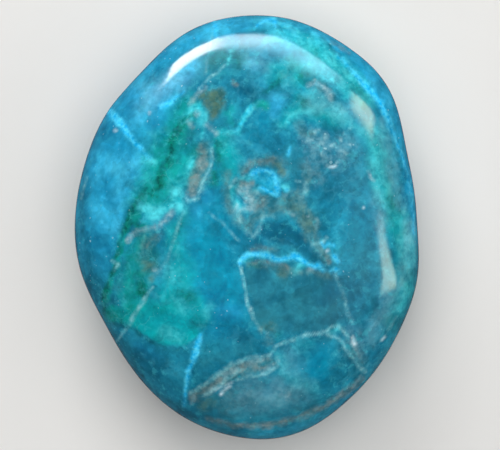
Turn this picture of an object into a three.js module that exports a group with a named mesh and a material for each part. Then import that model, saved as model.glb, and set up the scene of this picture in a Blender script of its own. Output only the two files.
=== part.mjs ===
// A palm stone of polished chrysocolla, lying on its flat foot.
//
// One solid, in millimetres: +Z is up, +Y runs along the stone's length, and
// the origin is on the resting surface, under the middle of the stone's box.
// The stone is a turned body drawn out to an uneven oval. Its profile runs from
// the middle of the foot out to the girdle, which is the widest level, and back
// in to the top of the crown.

import * as THREE from "three";

// Driving dimensions.
const HALF_WIDTH = 26; // of the oval that the stone is nearest to, along X
const HALF_LENGTH = 32; // along Y
const HEIGHT = 22; // from the foot to the top of the crown
const GIRDLE_HEIGHT = 11; // mean height of the girdle
const GIRDLE_WAVE = 1.1; // the girdle rises and dips this much as it goes round
const GIRDLE_WAVE_TURN = THREE.MathUtils.degToRad(35); // direction of one of its two rises
const FOOT_SHARE = 0.44; // width of the flat foot, as a share of the girdle's
const CROWN_FULLNESS = 2.5; // 2 is an elliptical dome; more is a flatter top with a rounder shoulder
const BELLY_FULLNESS = 2.1; // the same for the underside, from the foot out to the girdle

// Distance from the centre to the girdle every 15 degrees, anticlockwise from +X.
const GIRDLE_RADII = [
  25.7, 25.9, 27.3, 30.0, 31.2, 32.1, 32.1, 31.2, 29.0, 27.7, 26.8, 26.1,
  25.9, 25.8, 25.6, 26.6, 28.5, 30.4, 31.7, 31.8, 30.2, 28.7, 27.5, 26.7,
];

// How finely the curved surface is cut into faces.
const SPOKES = 72;
const CROWN_RINGS = 13;
const BELLY_RINGS = 9;

const STONE_TEAL = 0x1a8aa3;
const POLISHED_ROUGHNESS = 0.12;

// A smooth closed curve through evenly spaced values, by trigonometric interpolation.
function roundCurve(values, angle) {
  const count = values.length;
  return values.reduce((sum, value, index) => {
    const offset = angle - (2 * Math.PI * index) / count;
    const swing = count * Math.tan(offset / 2);
    const weight = Math.abs(swing) < 1e-9 ? 1 : Math.sin((count * offset) / 2) / swing;
    return sum + value * weight;
  }, 0);
}

function ovalRadius(angle) {
  return 1 / Math.hypot(Math.cos(angle) / HALF_WIDTH, Math.sin(angle) / HALF_LENGTH);
}

// The turned body's profile, from the middle of the foot to the top of the crown. Each point
// holds a share of the full radius, and a level: -1 at the foot, 0 at the girdle, 1 at the top.
function turnedProfile() {
  const points = [new THREE.Vector2(0, -1)];
  for (let ring = 0; ring <= BELLY_RINGS; ring++) {
    const turn = (ring / BELLY_RINGS) * (Math.PI / 2);
    const reach = Math.sin(turn) ** (2 / BELLY_FULLNESS);
    const share = FOOT_SHARE + (1 - FOOT_SHARE) * reach;
    points.push(new THREE.Vector2(share, -Math.cos(turn)));
  }
  for (let ring = 1; ring <= CROWN_RINGS; ring++) {
    const turn = (ring / CROWN_RINGS) * (Math.PI / 2);
    const share = ring === CROWN_RINGS ? 0 : Math.cos(turn) ** (2 / CROWN_FULLNESS);
    points.push(new THREE.Vector2(share, Math.sin(turn)));
  }
  return points;
}

// Draws the turned body out to its radius all round, and its levels to their heights. The
// girdle has the full uneven outline, which eases into the plain oval towards the middle.
function shapeStone(geometry) {
  const position = geometry.getAttribute("position");
  for (let index = 0; index < position.count; index++) {
    const x = position.getX(index);
    const y = position.getY(index);
    const level = position.getZ(index);
    const angle = Math.atan2(y, x);
    const unevenness = Math.min(1, x * x + y * y);
    const radius = THREE.MathUtils.lerp(
      ovalRadius(angle),
      roundCurve(GIRDLE_RADII, angle),
      unevenness,
    );
    const girdle = GIRDLE_HEIGHT + GIRDLE_WAVE * Math.cos(2 * (angle - GIRDLE_WAVE_TURN));
    const span = level < 0 ? girdle : HEIGHT - girdle;
    position.setXYZ(index, x * radius, y * radius, girdle + level * span);
  }
  return geometry;
}

// Sets the middle of the stone's box over the origin, with the foot at height 0.
function centreOnOrigin(geometry) {
  geometry.computeBoundingBox();
  const { min, max } = geometry.boundingBox;
  return geometry.translate(-(min.x + max.x) / 2, -(min.y + max.y) / 2, -min.z);
}

function makeStone() {
  const turned = new THREE.LatheGeometry(turnedProfile(), SPOKES);
  turned.rotateX(Math.PI / 2); // the lathe turns about Y: stand its axis up along Z
  const geometry = centreOnOrigin(shapeStone(turned));
  geometry.computeVertexNormals();
  const material = new THREE.MeshStandardMaterial({
    color: STONE_TEAL,
    roughness: POLISHED_ROUGHNESS,
    metalness: 0,
  });
  const stone = new THREE.Mesh(geometry, material);
  stone.name = "stone";
  return stone;
}

const palmStone = new THREE.Group();
palmStone.add(makeStone());

export default palmStone;
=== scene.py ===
"""A palm stone of polished chrysocolla, lying on its flat foot on a pale floor."""

import math
from collections import namedtuple

import bpy
import numpy as np
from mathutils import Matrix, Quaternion, Vector, noise


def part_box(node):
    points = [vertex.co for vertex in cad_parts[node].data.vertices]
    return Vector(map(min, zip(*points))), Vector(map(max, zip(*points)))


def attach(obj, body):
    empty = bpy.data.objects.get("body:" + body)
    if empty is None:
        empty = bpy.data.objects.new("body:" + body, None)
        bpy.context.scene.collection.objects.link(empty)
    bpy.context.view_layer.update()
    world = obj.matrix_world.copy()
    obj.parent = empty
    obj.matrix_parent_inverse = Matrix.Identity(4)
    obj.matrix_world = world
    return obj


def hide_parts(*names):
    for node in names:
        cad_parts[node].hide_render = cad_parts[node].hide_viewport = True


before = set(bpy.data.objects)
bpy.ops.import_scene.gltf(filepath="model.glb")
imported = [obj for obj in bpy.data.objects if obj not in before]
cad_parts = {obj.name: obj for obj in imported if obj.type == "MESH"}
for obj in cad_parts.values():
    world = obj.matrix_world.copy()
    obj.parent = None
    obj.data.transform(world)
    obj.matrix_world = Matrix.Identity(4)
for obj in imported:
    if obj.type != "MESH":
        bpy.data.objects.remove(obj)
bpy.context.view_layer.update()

MM = 0.001
STONE_LOW, STONE_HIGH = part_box("stone")
STONE_HEIGHT = STONE_HIGH.z - STONE_LOW.z

# ---------------------------------------------------------------------------
# Sizes of the stone's own shape
# ---------------------------------------------------------------------------
SPOKES = 72  # of the turned CAD stone
OUTLINE_HARMONICS = 12  # waves that its outline is made of
OVAL_HALF_WIDTH = 26 * MM  # the plain oval that the outline eases into, towards the middle
OVAL_HALF_LENGTH = 32 * MM
FOOT_SHARE = 0.44  # width of the foot, as a share of the girdle's
DOME_FULLNESS = 2.5
BELLY_FULLNESS = 2.1
PROFILE_SAMPLES = 4000
BELLY_RINGS = 70  # rings of faces from the middle of the belly to the girdle
DOME_RINGS = 2 * BELLY_RINGS

# ---------------------------------------------------------------------------
# Where the stone is seen from: straight above
# ---------------------------------------------------------------------------
GIRDLE_LEVEL = 11 * MM
FRAME_WIDTH = 75.35 * MM  # seen across the picture at the girdle
CAMERA_AIM = Vector((0.47 * MM, 0.35 * MM, GIRDLE_LEVEL))
LENS = 200.0
SENSOR = 36.0
VIEWING_HEIGHT = FRAME_WIDTH * LENS / SENSOR  # above the girdle

# ---------------------------------------------------------------------------
# The minerals, from the ground mass up: each covers those before it
# ---------------------------------------------------------------------------
# A mineral's two colours, the size of its clouding, how far its edges stray in millimetres,
# how torn they are, the share of it that is lost in gaps, and its marks.
# Most layers are the stone's own colours, but the glint layer is painted highlights, and some strokes
# of the sky and navy layers are painted glow and painted shade.
Mineral = namedtuple("Mineral", "dark light clouds wander tear gaps marks")
BROAD, MIDDLING, FINE = "broad", "middling", "fine"


def paint(red, green, blue):
    """A colour picked on the usual 0 to 255 scale, as the shader's linear colour."""
    shares = [value / 255 for value in (red, green, blue)]
    linear = [s / 12.92 if s <= 0.04045 else ((s + 0.055) / 1.055) ** 2.4 for s in shares]
    return (*linear, 1.0)


# Each mark is its strength from 0 to 1, the width of its soft edge, and one or more brush strokes.
# A stroke is the points that it passes through, as (x, y, half width). Widths and places are in
# millimetres, at the level of the girdle.
MINERALS = {}
MINERALS["ground"] = Mineral(paint(8, 106, 136), paint(34, 150, 178), BROAD, 0, 0, 0, [])
MINERALS["lagoon"] = Mineral(paint(0, 118, 152), paint(4, 156, 188), BROAD, 0.7, 2.0, 0.1, [
    (1, 2.4, [(-7, 0, 2.2), (-6, -5, 4.6), (-5, -10, 4.2), (-3, -13.5, 3)]),
    (0.7, 2, [(-4.5, 6, 1.6), (-4, 1, 2.5)]),
    (0.95, 1.2, [(-5.8, 2.2, 1.2), (-3.6, 0.6, 1.5), (-1.9, -1.6, 1)]),
    (0.5, 2.5, [(0.5, -16.5, 2.5), (-4, -17, 2)]),
    (1, 1.6, [(11.2, -19.4, 1.8), (10.5, -21.4, 2.6)]),
    (0.8, 2, [(6.6, -20.6, 1.6), (6, -24, 1.8)]),
    (0.4, 2, [(13.5, 3.5, 2.4), (15, 0, 2.6), (15, -4, 2)]),
    (0.6, 1.2, [(2.2, 16, 1.6), (1.6, 13.6, 1.8)]),
    (1, 0.5, [(1.8, 7.4, 1), (3, 7, 1.1), (3.4, 6.2, 0.7)]),
])
MINERALS["azure"] = Mineral(paint(12, 124, 166), paint(36, 162, 204), BROAD, 0.7, 2.0, 0.1, [
    (0.95, 2.4, [(-17.5, 20.5, 2.6), (-20, 15, 3.6), (-22, 8, 4), (-22.5, 1, 3.6), (-22.5, -4, 2.8)]),
    (0.9, 1.8, [(-14, 16, 2), (-13, 20, 2.2), (-10, 22.6, 1.6)]),
    (0.95, 1.6, [(-18, 21, 1.6), (-14.5, 24.6, 1.8), (-10, 28, 1.8), (-6, 29.8, 1.6), (-1, 30.8, 1)]),
    (0.9, 1.2, [(12, 28.4, 0.8), (17, 24.4, 1.2), (20.6, 20.3, 1.3), (22.8, 16.2, 1.1)],
     [(-15.8, -18.2, 0.9), (-13.4, -19.6, 0.8)]),
    (0.8, 1, [(22.8, 16.2, 1.1), (24.3, 10, 0.9), (25.2, 3, 0.8), (25.4, -2, 0.6)]),
    (0.8, 0.8, [(4, 18.8, 0.8), (4.4, 17, 0.7)]),
    (0.7, 1, [(-6.2, 5.2, 0.8), (-6, 4.2, 0.8)], [(-8.2, 2.9, 0.7), (-7.4, 2.2, 0.7)]),
    (0.8, 1.2, [(-3.6, -12.6, 1), (-1.6, -12.8, 0.8)]),
    (0.5, 0.8, [(0, -31.6, 0.4), (6, -30.9, 0.5), (12, -28.4, 0.5), (17, -24.6, 0.4)]),
])
# A light blue of the stone, partly painted light: the strokes just under the window's highlight band
# are a painted glow of the window's reflection.
MINERALS["sky"] = Mineral(paint(30, 156, 202), paint(72, 198, 236), BROAD, 0.5, 3.0, 0.2, [
    (0.9, 1.4, [(-20.4, 9.2, 1.3), (-18, 9.2, 2), (-16.8, 10, 1.3)], [(5.2, 30, 1.4),
     (7.6, 29.2, 1.1)]),
    (0.6, 1.6, [(-22.6, 7.6, 0.8), (-22.4, 10.8, 0.8)]),
    (0.8, 1.2, [(-16.6, 19.8, 0.7), (-14.8, 20.4, 1.2), (-14.6, 18.8, 0.9)]),
    (0.7, 0.8, [(-16.4, 17.2, 0.4), (-16, 16, 0.3)]),
    # The first stroke here is painted glow, just under the window's highlight band.
    (0.7, 1.2, [(-12.4, 21.6, 0.7), (-10.4, 23.2, 1), (-7.8, 24.6, 0.9)], [(-4, 30.6, 0.8),
     (2, 31.2, 0.6), (8, 30, 0.8), (12, 28.2, 0.6)]),
    (0.7, 1, [(-11.2, 26.8, 0.6), (-8, 28.4, 0.8), (-5, 29.6, 0.6)]),
    (0.75, 1.2, [(-18.6, 9, 0.9), (-19.2, 4, 1), (-19.6, 0, 0.8)]),
    (0.9, 0.4, [(-21.6, 4.6, 0.15), (-20.9, 4.2, 0.15)]),
    (0.8, 0.6, [(-21.7, 0.6, 0.4), (-21.2, 0.1, 0.35)]),
    (0.6, 0.7, [(-24.5, -3.3, 0.4)]),
    (0.5, 2, [(-22.6, 2.4, 1.2), (-20.6, 1.6, 0.9)]),
    (0.6, 0.8, [(3.6, 19.8, 0.6), (5, 19, 0.9), (4.4, 17.4, 0.6)]),
    # The first stroke here is painted glow, just under the window's highlight band.
    (0.5, 1.4, [(-7, 24.2, 0.7), (-3.4, 24.4, 0.5), (0.6, 24.4, 0.8)], [(12.8, -7.6, 0.9),
     (12.4, -9.6, 0.9)]),
    (0.6, 1.2, [(-6, 29.6, 0.6), (-2.4, 30.2, 0.8)]),
    (0.6, 1, [(18.6, 22.6, 0.6), (21.2, 18.8, 0.6)]),
])
MINERALS["slate"] = Mineral(paint(14, 98, 124), paint(42, 138, 158), BROAD, 0.5, 3.0, 0.15, [
    (1, 0.8, [(2.4, -8.2, 3), (10.6, -9, 3.2), (4, -12.2, 3.4), (11.8, -12.6, 3.4)]),
    (0.8, 2.4, [(2, -25, 3.6), (8, -26, 2.8), (-4, -27, 2.6)]),
    (0.7, 2.4, [(-2, -19, 2.5), (-6, -20.5, 1.8)]),
    (0.9, 1.2, [(7.2, 10.8, 1.5), (8.2, 7.4, 1.4)]),
    (0.5, 2.4, [(8, 8.5, 2.6), (9.5, 4, 2.6), (11, 1.5, 1.6)], [(18, -5, 2.2), (17.5, -13, 2)]),
    (0.5, 1.8, [(-1.5, 21, 1.8), (0.8, 19.5, 1.4)]),
    (0.6, 1.6, [(-5.4, 23.6, 1), (-4.2, 22.6, 1)]),
    (0.9, 0.6, [(-5.2, 25.6, 0.7), (-3.4, 26, 0.6), (-1.6, 26.2, 0.3)]),
    (0.7, 1, [(-8.8, 13.8, 0.9)]),
])
# A dark blue of the stone, partly painted shade: the strokes along the left and lower left rim darken
# it where the rim turns away from the light.
MINERALS["navy"] = Mineral(paint(2, 84, 112), paint(12, 106, 136), BROAD, 0.4, 3.0, 0.15, [
    (1, 0.5, [(2.9, -0.4, 1.1), (5.4, -0.8, 1.6), (7.4, -2, 1.3), (9, -3.2, 0.8)]),
    (0.9, 0.8, [(9.4, -3.8, 0.8), (10.8, -4.6, 0.7)]),
    (0.95, 0.6, [(-1.6, 21.2, 0.6), (-0.6, 20.2, 1.1), (0.4, 19.8, 0.9), (-0.6, 18.6, 0.6)]),
    (0.8, 0.5, [(-5, 25.8, 0.5), (-5, 23.8, 0.6)]),
    (0.7, 0.5, [(-1.3, 25.8, 0.4), (-1.2, 24.2, 0.5)]),
    (0.6, 0.6, [(2.6, 20.4, 0.4), (4, 21.6, 0.6), (4.9, 22.4, 0.4)]),
    (0.6, 0.8, [(-2.6, 16.6, 0.5), (-2.8, 18.6, 0.6)]),
    (0.7, 1.4, [(13.2, -22.4, 1.4), (15, -20.8, 1.2)]),
    # Painted shade along the lower left rim.
    (0.7, 2.2, [(-16.5, -19.5, 1.4), (-13.5, -22.5, 1.7), (-11, -26, 1.8), (-4, -29.4, 1.2)]),
    # Painted shade along the lower left rim and along the left rim.
    (0.8, 1.2, [(-17.6, -20.4, 0.5), (-14.6, -23.8, 0.7), (-12.2, -26, 0.7), (-8.6, -28.4, 0.6)],
     [(-24.4, 7, 0.6), (-24.6, 3, 0.8), (-24.4, -2, 0.6), (-23.6, -6, 0.6)]),
    (0.8, 1, [(-20.2, -8.6, 1), (-18, -8.6, 1)]),
    (0.45, 1, [(-9.6, 9.6, 0.6), (-14.8, 9.2, 0.5)]),
    (0.6, 1.4, [(0.4, -16.8, 0.8), (3.4, -17.6, 0.8)], [(8.6, 12.4, 1), (9, 9, 1.1), (8.4, 5, 1.1)]),
    (0.3, 1.4, [(4.6, -15, 1), (8.6, -14.8, 0.9), (11.6, -14.4, 0.7)], [(-9.4, -3.6, 1),
     (-8.6, -6.6, 0.8)]),
    (0.7, 1, [(-20.3, -11.2, 0.9), (-19.2, -10.6, 0.6)]),
    (0.5, 1, [(-17.3, -7.8, 0.7)], [(-21.4, 14.2, 0.7), (-22.2, 12.4, 0.5)]),
    (0.6, 1.6, [(2.5, 12.4, 1.2), (5, 12.6, 1.2)]),
    (0.5, 0.9, [(6.9, 11.2, 0.7), (7.3, 9.8, 0.7)]),
    (0.5, 1.8, [(9.8, 6.8, 1.2), (12.5, 5.6, 1.2)]),
    (0.5, 1.4, [(-20.6, -6, 0.8), (-20, -2.2, 0.6)], [(-1.4, -15.4, 1.2)]),
    (0.75, 1.2, [(-23.2, -6, 0.6), (-22.2, -8.4, 0.9), (-21.2, -11, 0.7)]),
    (0.45, 1.4, [(-8.6, -1.6, 1.2), (-6.4, 0.2, 1.4), (-3.2, 0.2, 1.4), (-1.2, -2.2, 1)]),
    (0.4, 1, [(0.2, 0.4, 0.6), (1.6, -2.4, 0.6)]),
    (0.5, 0.6, [(2.5, 29.3, 0.4)], [(-12.8, 6, 0.4)]),
    (0.5, 0.8, [(-13.8, 9, 0.5), (-14.6, 8.4, 0.4)]),
])
MINERALS["teal"] = Mineral(paint(0, 136, 150), paint(6, 176, 184), BROAD, 0.5, 3.0, 0.12, [
    (0.95, 1.2, [(-17.4, -12.2, 1.2), (-15, -13, 2.2), (-11, -13.6, 3), (-8.4, -13, 2.6)]),
    (0.9, 1.6, [(-11, -10.5, 2.6), (-9.8, -7, 2), (-11, -3.5, 1.2), (-11.2, -0.6, 0.9)]),
    (1, 0.4, [(-20.4, -13, 1), (-18, -13.9, 1), (-15, -15.2, 1.2), (-12, -16.2, 1.5)]),
    (1, 0.5, [(-12, -16.2, 1.5), (-9.4, -16.4, 1.4), (-7.8, -15.8, 0.8)]),
    (0.8, 1.4, [(-9.5, 10.5, 1.6), (-11.4, 7, 1.8), (-14, 3.5, 1.6)]),
    (0.8, 1.2, [(-3.6, 13, 1.2), (-2.4, 10, 1.6), (-3.4, 7.6, 1)], [(7, 24.8, 0.9), (9.6, 23.4, 1.2),
     (11.4, 21.8, 0.9)]),
    (0.7, 1.4, [(13, 16.6, 1.4), (8.6, 18.6, 1.4), (6, 16.4, 1)], [(4.4, 23.4, 1.4), (7.4, 21.8, 1.4)]),
    (0.6, 1.6, [(19.6, 12.4, 1.4), (20.2, 8, 1.2), (21.6, 3, 1.2), (23.4, -2, 1.4), (23.4, -9, 1.4)]),
    (0.7, 1.2, [(8, 28, 1.2), (12, 25.6, 1.4), (15.6, 22.4, 1.4), (18, 19.4, 1)]),
])
MINERALS["green"] = Mineral(paint(0, 112, 114), paint(14, 164, 158), BROAD, 0.6, 4.0, 0.25, [
    (0.9, 1.8, [(-9, 18.4, 1.6), (-10.4, 14.6, 2.2), (-12, 10, 2.8), (-13.6, 6, 2.6),
     (-16.4, 3.4, 1.2)]),
    (0.9, 1.6, [(-7.6, 10.8, 1.6), (-8.6, 8, 1.7)]),
    (0.85, 0.5, [(-8.6, 17.6, 0.6), (-10.6, 14.4, 0.9), (-12.2, 10.4, 0.9), (-13.6, 7.4, 0.9),
     (-16.6, 4, 0.7)]),
    (0.8, 0.4, [(-17.6, 2.4, 0.5), (-18.4, -0.6, 0.5), (-19.3, -4.4, 0.6), (-20.4, -8.4, 0.5),
     (-21.2, -11, 0.5)]),
    (0.9, 1.4, [(-15.6, -1.6, 1.6), (-16, -4.5, 2.4), (-17, -9, 2.2), (-17.4, -12, 1.6)]),
    (1, 0.5, [(-18, 0.6, 0.7), (-16.8, 1.5, 0.8), (-16.4, 2.6, 0.5)]),
    (0.8, 0.6, [(-14.6, 4.9, 0.6), (-12.8, 4.8, 0.7)]),
    (0.5, 1.2, [(-9.4, 1.6, 0.9), (-10.4, -1.2, 1)], [(-13.6, -12.4, 1), (-10.4, -11.2, 1.2),
     (-8.6, -10.4, 0.9)]),
    (0.6, 0.8, [(-20.4, -12.8, 0.9), (-18.2, -13.9, 0.8)]),
    (0.5, 1.6, [(-3.8, 13.2, 1.2), (-4.2, 10, 1.2)], [(19.2, 13.4, 1), (19.8, 10, 1.2), (21, 5.6, 1.2),
     (22.4, 1.4, 1.3), (24, -3.4, 1.3)]),
    (0.45, 1.6, [(12.8, 17.2, 1.2), (8.2, 18.8, 1)]),
    (0.6, 1.4, [(6.6, 24.4, 1.2), (8.6, 22.6, 0.9)]),
    (0.4, 1.4, [(9.8, 26.8, 1), (13.6, 24.6, 1), (16.6, 21.2, 0.9), (18.2, 18.8, 0.7)]),
    (0.5, 1.8, [(24.2, -5, 1), (23.8, -9.5, 1.4), (21.8, -14, 1.2)]),
    (0.6, 2, [(-4.6, 24.8, 1.4), (-2, 25.4, 1.6)]),
    (0.8, 0.8, [(-5.2, 8, 0.7), (-5.2, 6.7, 0.6)]),
    (0.7, 0.6, [(-2.4, 6.4, 0.5), (-2.6, 5, 0.5), (-1.2, 6, 0.4)]),
    (0.6, 1.2, [(-2.6, 17.4, 0.9), (-2.4, 15.8, 0.6)]),
    (1, 0.4, [(1.6, 18.6, 0.6), (2.6, 18.4, 0.7)]),
])
MINERALS["turquoise"] = Mineral(paint(26, 172, 188), paint(80, 214, 226), MIDDLING, 0.4, 3.5, 0.15, [
    (0.8, 0.6, [(-9.2, 16.4, 0.6), (-8.4, 17.6, 0.7), (-7.2, 18.2, 0.6), (-6.6, 16.8, 0.8),
     (-6.8, 15.6, 0.6)], [(-14.6, 1.4, 0.6), (-13.6, 1.6, 0.5)], [(-15.2, 10.4, 0.5), (-14.2, 10, 0.5)],
     [(7.4, -6.6, 0.6), (8, -5.8, 0.5)]),
    (0.9, 0.5, [(-6.8, 14.5, 0.3), (-6.8, 13.6, 0.3)]),
    (0.85, 0.5, [(-16.2, 3.2, 0.4), (-14.6, 2.5, 0.9), (-12.8, 2.7, 0.8), (-11.2, 3.4, 0.5)]),
    (0.7, 0.5, [(-15.4, 0.7, 0.3), (-14.4, 0.6, 0.3)], [(-19.1, -1.2, 0.3), (-19.2, -2.2, 0.3)],
     [(-1.8, 7.2, 0.35), (-0.6, 7.5, 0.45), (0.3, 7.5, 0.4)]),
    (0.9, 0.6, [(-8.2, 10.2, 0.4), (-8.6, 8.9, 0.5), (-9.4, 7.2, 0.3)]),
    (1, 0.8, [(-9.7, 6.6, 0.4), (-10.6, 5.4, 0.8), (-10.4, 4.2, 0.7), (-9.9, 2.8, 0.7)]),
    (0.6, 0.6, [(-11.6, 7.2, 0.2), (-10.8, 6.4, 0.3)]),
    (0.45, 0.9, [(-11.8, -5.8, 0.6), (-10.6, -8.6, 0.6), (-9.8, -12.2, 0.7)]),
    (0.6, 1, [(-12.4, -15.8, 0.9), (-10.4, -16.4, 0.7)], [(17.6, 14.6, 0.8), (20.6, 14.6, 0.7)],
     [(19.3, 12.2, 0.6), (19.2, 10, 0.8), (19.8, 7, 0.7), (20.8, 3.4, 0.6)]),
    (0.5, 1.2, [(5.4, -19.6, 0.7), (5.6, -21.6, 0.9), (7.4, -23.6, 0.9), (10, -24.4, 0.8)],
     [(23.2, 2, 0.6), (24, -1, 0.7), (24.2, -5, 0.6)], [(22.9, -11.6, 0.9), (23.4, -9.6, 0.6)]),
    (0.35, 1.2, [(7.4, -18.2, 0.6), (9.6, -17.6, 0.6)]),
    (0.6, 0.8, [(-6.4, -13.4, 0.4), (-5.4, -11.8, 0.4)], [(-3.6, 12.4, 0.5)]),
    (0.8, 1.6, [(5, 29.5, 1), (9, 28.2, 1)]),
    (0.75, 1.2, [(8.6, 28, 0.9), (12, 26.2, 1), (14.6, 23.6, 1.1), (16.8, 21.2, 1), (18.4, 19.4, 0.8)]),
    (0.95, 0.4, [(-4.2, 14.3, 0.4), (-2.6, 14.2, 0.4), (-1.4, 14.2, 0.35)]),
    (1, 0.35, [(-1.4, 14.4, 0.3), (-0.9, 15.6, 0.35), (-0.4, 16.8, 0.4), (0.9, 18.2, 0.4)],
     [(5.2, 6.2, 0.4), (5.8, 5.6, 0.45)]),
    (0.8, 0.5, [(5.2, 15.2, 0.25), (6.4, 16.7, 0.4), (8, 17.3, 0.35), (10, 17.7, 0.3)], [(0.5, 5, 0.5),
     (1.4, 5.6, 0.4)]),
    (0.6, 1.2, [(9.8, 20.2, 0.8), (12.8, 17.8, 1), (15.4, 15.8, 0.8)]),
    (0.8, 1.2, [(9.6, 24.6, 0.8), (12.6, 22.8, 0.8), (15.2, 20.4, 0.8)]),
    (0.4, 0.8, [(4.2, 24.2, 0.6), (5.8, 24.4, 0.6)]),
    (0.8, 0.35, [(-2.5, 26.6, 0.2), (-2.8, 24.6, 0.2)]),
    (0.7, 0.7, [(7.4, 16.9, 0.4), (6.2, 16.7, 0.4)], [(12.9, -15.4, 0.4), (14, -15.3, 0.4)]),
    (0.6, 0.7, [(5.4, 15.4, 0.4)]),
    (0.6, 0.5, [(-2.2, 6.2, 0.35), (-2.5, 5.2, 0.4), (-2, 4.2, 0.6), (-1.3, 3.2, 0.6),
     (-0.7, 2.8, 0.4)]),
    (0.8, 0.4, [(-1.9, 3.4, 0.3), (-1.4, 3, 0.3)]),
    (0.6, 0.4, [(-0.8, -5, 0.4), (0.4, -4.5, 0.4)]),
    (0.7, 0.6, [(1.2, -20.4, 0.3), (2.8, -20.4, 0.3)]),
])
MINERALS["milk"] = Mineral(paint(112, 180, 202), paint(156, 208, 222), BROAD, 0.8, 2.0, 0.35, [
    (0.25, 2.2, [(-15.4, 19.6, 1), (-13.4, 21, 1.2), (-10.6, 22.2, 0.8)]),
    (0.35, 2.4, [(-1, -25.6, 1.6), (4.6, -25, 2), (8.4, -24.6, 1)]),
    (0.3, 1.4, [(20.4, 15.4, 0.6), (21, 12, 0.8), (21.6, 8, 0.9), (23, 3, 0.7)], [(16.2, -16, 0.8),
     (17, -18.6, 0.8)]),
    (0.35, 1.4, [(24.4, 0, 0.8), (24.2, -5, 0.8), (22.6, -9, 1), (20.8, -12.5, 1), (18.6, -16.5, 0.9)],
     [(9.4, 18.6, 0.8), (12.4, 18.4, 0.9), (14.6, 17.4, 0.7)]),
    (0.25, 2, [(6.2, -18.8, 0.8), (6.6, -21.4, 1.4)]),
    (0.25, 1.6, [(0.2, 25.2, 0.8), (2.6, 24.6, 0.8)]),
    (0.3, 1.6, [(20, 4.4, 0.5), (20.4, 0.6, 0.6)]),
])
MINERALS["emerald"] = Mineral(paint(0, 78, 74), paint(2, 128, 112), FINE, 0.3, 5.0, 0.2, [
    (0.95, 0.45, [(-9.4, 15.4, 0.5), (-10.6, 14.4, 0.7), (-11.4, 13, 0.6), (-11.2, 11.6, 0.4),
     (-12, 10, 0.35)], [(-12.9, 8.4, 0.4), (-13.4, 7, 0.6), (-12.8, 6.2, 0.4), (-14.6, 5.6, 0.3)]),
    (0.9, 0.35, [(-8, 17, 0.2), (-9.4, 16.4, 0.3), (-10.4, 15.4, 0.3)]),
    (0.9, 0.6, [(-11.8, 9.8, 0.6), (-12.6, 9.2, 0.5)]),
    (0.6, 0.5, [(-15.2, 5.2, 0.3), (-13.8, 4.6, 0.3)], [(2.8, 20.6, 0.3), (4.2, 21.7, 0.5),
     (4.8, 22.4, 0.3)]),
    (0.9, 0.5, [(-14.8, 5.8, 0.3), (-16.4, 4.4, 0.3), (-17.3, 2.9, 0.4), (-17.7, 1.6, 0.5),
     (-18, 0.6, 0.6), (-18.6, -0.5, 0.5), (-17.2, 0.6, 0.3)]),
    (0.7, 0.4, [(-18.8, -1, 0.25), (-19.2, -2.6, 0.25)]),
    (0.8, 0.4, [(-17, 0.3, 0.25), (-15.6, 0.3, 0.25)], [(0.3, -4.6, 0.3), (0.9, -4.4, 0.3)]),
    (0.9, 0.4, [(-19.3, -2.6, 0.3), (-19.1, -3.4, 0.4), (-19.8, -4.6, 0.25)]),
    (1, 0.4, [(-19.8, -5.4, 0.2), (-20.3, -7, 0.3), (-20.9, -8.4, 0.35), (-21.3, -9.6, 0.5),
     (-21.5, -10.6, 0.3)]),
    (0.7, 0.5, [(-21.6, -11.6, 0.25), (-21.4, -12.8, 0.3)]),
    (1, 0.6, [(-16, -8.6, 0.4), (-15.8, -9.8, 0.8)]),
    (0.5, 0.7, [(-16.8, -7, 0.5)]),
    (0.7, 0.7, [(-4.4, 12.8, 0.5), (-4.3, 10.3, 0.5)]),
    (0.5, 1, [(-20.6, -13.2, 0.7), (-18.8, -14.2, 0.5)]),
    (0.4, 1, [(21.4, 4.4, 0.5), (22.2, 2.6, 0.5)]),
    (0.7, 0.6, [(0.6, -5.7, 0.3), (1.8, -5.6, 0.3)]),
    (0.6, 0.9, [(-9.8, -10, 0.5), (-8.6, -10.4, 0.5)]),
    (0.5, 0.8, [(8.4, 22.7, 0.5)], [(8.4, 18.9, 0.6)], [(16.4, 21.2, 0.5), (17.6, 19.8, 0.5)],
     [(10.4, 26.6, 0.5)]),
    (0.5, 0.9, [(5, 22.4, 0.5), (3.6, 21.8, 0.4)]),
    (0.6, 0.6, [(-5.2, 8.2, 0.3), (-4.8, 7, 0.4)]),
    (0.4, 0.8, [(4.4, -16.4, 0.6)]),
])
MINERALS["ash"] = Mineral(paint(42, 106, 128), paint(92, 148, 164), MIDDLING, 0.8, 4.0, 0.3, [
    (0.8, 1.4, [(10, 12.6, 1.8), (12.6, 10.8, 2.4), (14.8, 12.2, 1.6)]),
    (0.6, 1, [(9.2, 9.4, 0.9), (10.8, 7.4, 1)]),
    (0.35, 1.4, [(6.2, 24.4, 1), (6.4, 21.4, 1)]),
    (0.4, 1, [(11, 21, 1.2), (12.6, 19.8, 0.9)]),
    (0.35, 1.2, [(16, -16, 0.8), (16.8, -18.4, 0.9)]),
])
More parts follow.
